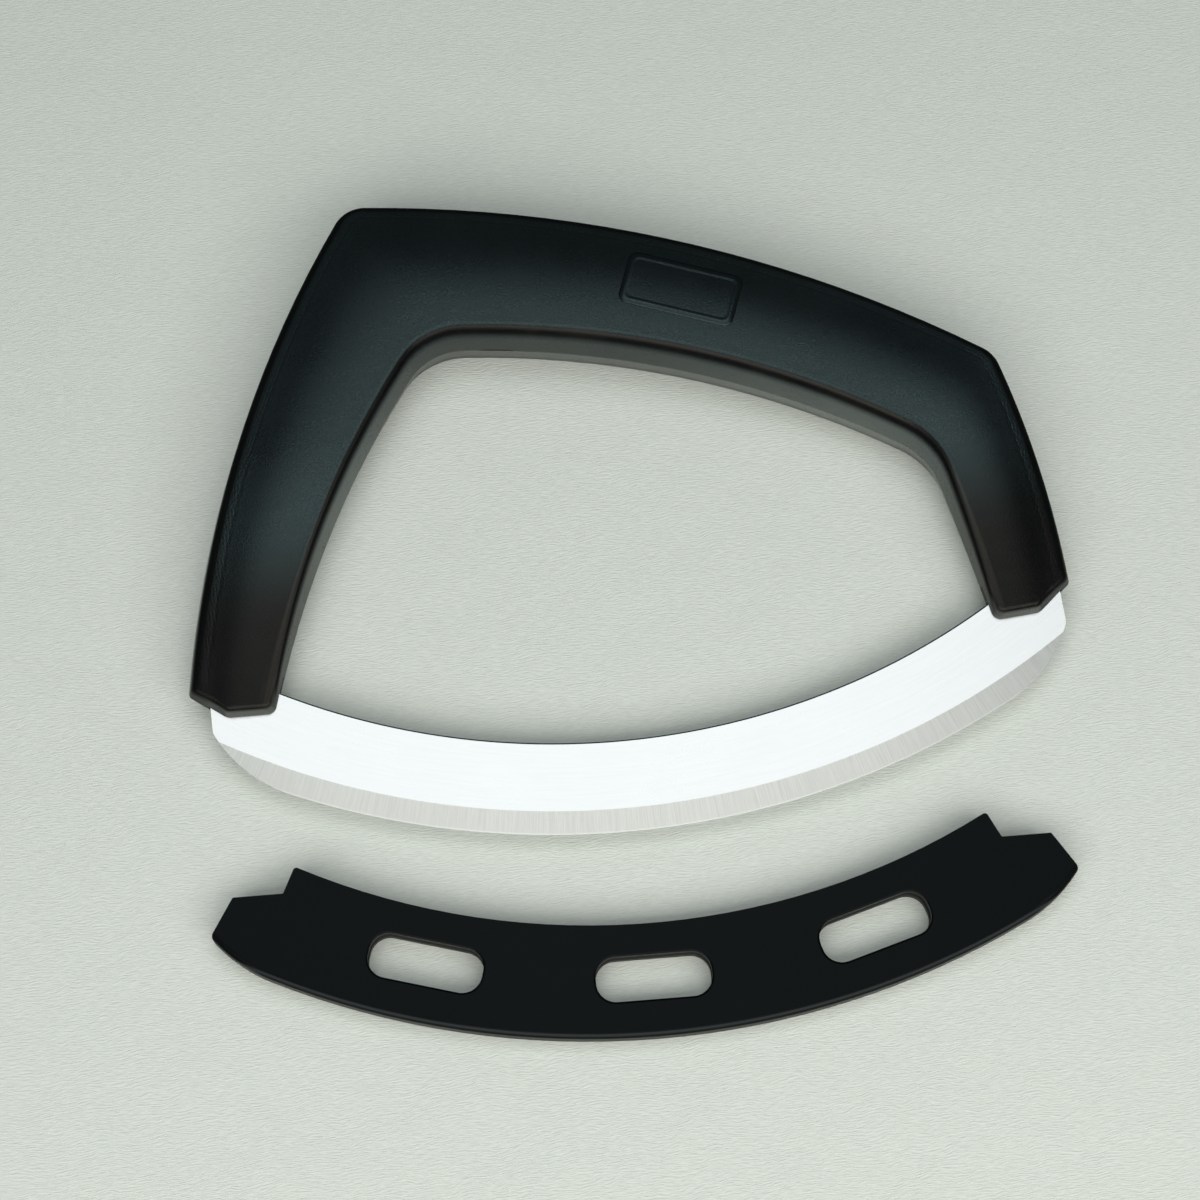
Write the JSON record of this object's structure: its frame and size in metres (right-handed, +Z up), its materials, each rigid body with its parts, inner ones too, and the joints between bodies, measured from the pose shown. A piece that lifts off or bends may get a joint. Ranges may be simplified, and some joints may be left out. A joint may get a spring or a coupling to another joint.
{
  "type": "mezzaluna",
  "caption": "Mezzaluna with a curved rocking blade held in a leaning closed grip, and a slotted push-on blade guard.",
  "frame": {"origin": "centre of the bounding box's underside, on the surface that the mezzaluna and its guard lie on", "axes": "+Z up, square to that surface; +Y from the guard and the blade's edge towards the back of the grip; +X along the blade, towards the lower end of the leaning grip"},
  "size_m": [0.2029, 0.2062, 0.0238],
  "materials": {
    "handle_plastic": "satin moulded black plastic",
    "blade_steel": "fine satin face with a cross-ground bevel",
    "guard_plastic": "satin moulded black plastic",
    "pin_steel": "plain drawn steel"
  },
  "bodies": {
    "mezzaluna": {"front_shell": "handle_plastic", "rear_shell": "handle_plastic", "blade": "blade_steel", "left_lower_pin": "pin_steel", "left_upper_pin": "pin_steel", "right_lower_pin": "pin_steel", "right_upper_pin": "pin_steel"},
    "guard": {"blade_guard": "guard_plastic"}
  },
  "joints": [
    {"name": "guard_push_on", "type": "slide", "parent": "mezzaluna", "child": "guard", "axis": [0.0863, 0.9948, 0.0544], "range_m": [0, 0.04055]}
  ]
}
